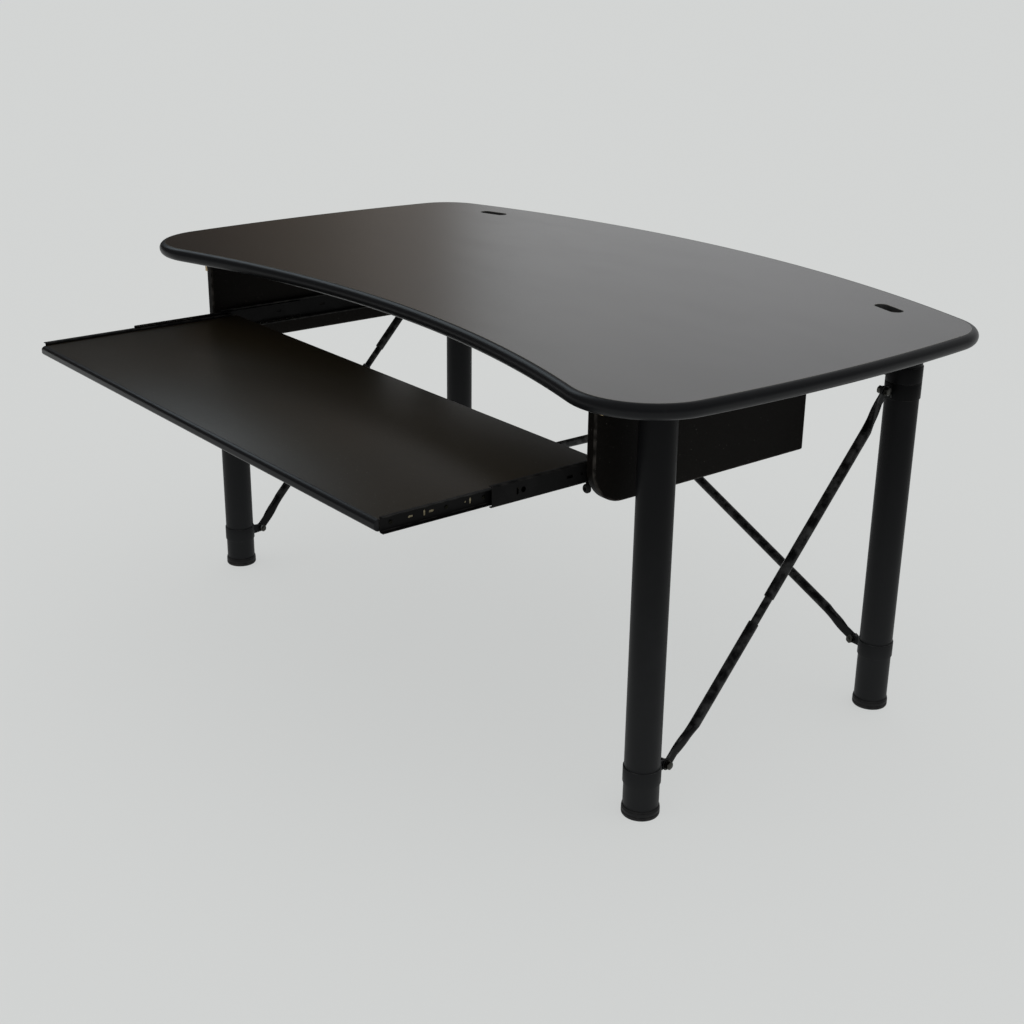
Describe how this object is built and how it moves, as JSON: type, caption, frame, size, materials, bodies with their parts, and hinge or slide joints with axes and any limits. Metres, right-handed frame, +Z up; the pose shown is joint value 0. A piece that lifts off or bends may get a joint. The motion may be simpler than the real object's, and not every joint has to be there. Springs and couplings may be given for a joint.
{
  "type": "computer desk",
  "caption": "Bow-shaped computer desk on round legs with crossed telescoping braces and a wide keyboard tray on ball slides.",
  "frame": {"origin": "on the floor, under the middle of the box that holds the desk with its tray pulled out", "axes": "+X to the user's right along the desk, -Y towards the seated user and the way the tray pulls out, +Z up"},
  "size_m": [1.578, 1.257, 0.735],
  "materials": {
    "top_laminate": "satin black laminate on particle board",
    "edge_moulding": "glossy moulded edge",
    "slot_liner": "matt",
    "panel_laminate": "satin black laminate on particle board",
    "tray_laminate": "satin black laminate on particle board",
    "raw_wood": "bare sawn wood",
    "bumper_rubber": "matt",
    "slide_steel": "black electro-coated",
    "zinc_hardware": "bright zinc",
    "bracket_steel": "satin black powder coat",
    "leg_powder_coat": "satin black powder coat",
    "foot_plastic": "matt moulded",
    "brace_powder_coat": "satin black powder coat",
    "brace_rod_steel": "satin black"
  },
  "bodies": {
    "desk": {"desk_top": "top_laminate", "desk_top_edge": "edge_moulding", "cable_slot_liner_l": "slot_liner", "cable_slot_liner_r": "slot_liner", "side_panel_l": "panel_laminate", "side_panel_r": "panel_laminate", "panel_cleat_l": "raw_wood", "panel_cleat_r": "raw_wood", "edge_bumper_l": "bumper_rubber", "edge_bumper_r": "bumper_rubber", "slide_outer_l": "slide_steel", "slide_outer_r": "slide_steel", "slide_panel_screws": "zinc_hardware", "cleat_screws": "zinc_hardware", "leg_front_l": "leg_powder_coat", "leg_front_r": "leg_powder_coat", "leg_rear_l": "leg_powder_coat", "leg_rear_r": "leg_powder_coat", "leg_plate_front_l": "bracket_steel", "leg_plate_front_r": "bracket_steel", "leg_plate_rear_l": "bracket_steel", "leg_plate_rear_r": "bracket_steel", "leg_plate_screws": "zinc_hardware", "foot_front_l": "foot_plastic", "foot_front_r": "foot_plastic", "foot_rear_l": "foot_plastic", "foot_rear_r": "foot_plastic", "collar_front_l": "bracket_steel", "collar_front_r": "bracket_steel", "collar_rear_low_l": "bracket_steel", "collar_rear_low_r": "bracket_steel", "collar_rear_side_l": "bracket_steel", "collar_rear_side_r": "bracket_steel", "collar_rear_high_l": "bracket_steel", "collar_rear_high_r": "bracket_steel", "side_brace_tube_low_l": "brace_powder_coat", "side_brace_tube_low_r": "brace_powder_coat", "side_brace_tube_high_l": "brace_powder_coat", "side_brace_tube_high_r": "brace_powder_coat", "side_brace_rod_l": "brace_rod_steel", "side_brace_rod_r": "brace_rod_steel", "rear_brace_a_tube_low": "brace_powder_coat", "rear_brace_a_tube_high": "brace_powder_coat", "rear_brace_a_rod": "brace_rod_steel", "rear_brace_b_tube_low": "brace_powder_coat", "rear_brace_b_tube_high": "brace_powder_coat", "rear_brace_b_rod": "brace_rod_steel", "side_brace_bolts_l": "zinc_hardware", "side_brace_bolts_r": "zinc_hardware", "rear_brace_a_bolts": "zinc_hardware", "rear_brace_b_bolts": "zinc_hardware"},
    "tray": {"tray_board": "tray_laminate", "tray_front_edge": "edge_moulding", "slide_inner_l": "slide_steel", "slide_inner_r": "slide_steel", "slide_tray_screws": "zinc_hardware"},
    "slide_middle_l": {"slide_middle_l": "slide_steel"},
    "slide_middle_r": {"slide_middle_r": "slide_steel"}
  },
  "joints": [
    {"name": "tray_slide", "type": "slide", "parent": "desk", "child": "tray", "axis": [0, 1, 0], "range_m": [0, 0.378]},
    {"name": "slide_middle_l", "type": "slide", "parent": "desk", "child": "slide_middle_l", "axis": [0, 1, 0], "range_m": [0, 0.189]},
    {"name": "slide_middle_r", "type": "slide", "parent": "desk", "child": "slide_middle_r", "axis": [0, 1, 0], "range_m": [0, 0.189]}
  ],
  "couplings": [
    {"joint": "slide_middle_l", "follows": "tray_slide", "ratio": 0.5},
    {"joint": "slide_middle_r", "follows": "tray_slide", "ratio": 0.5}
  ]
}
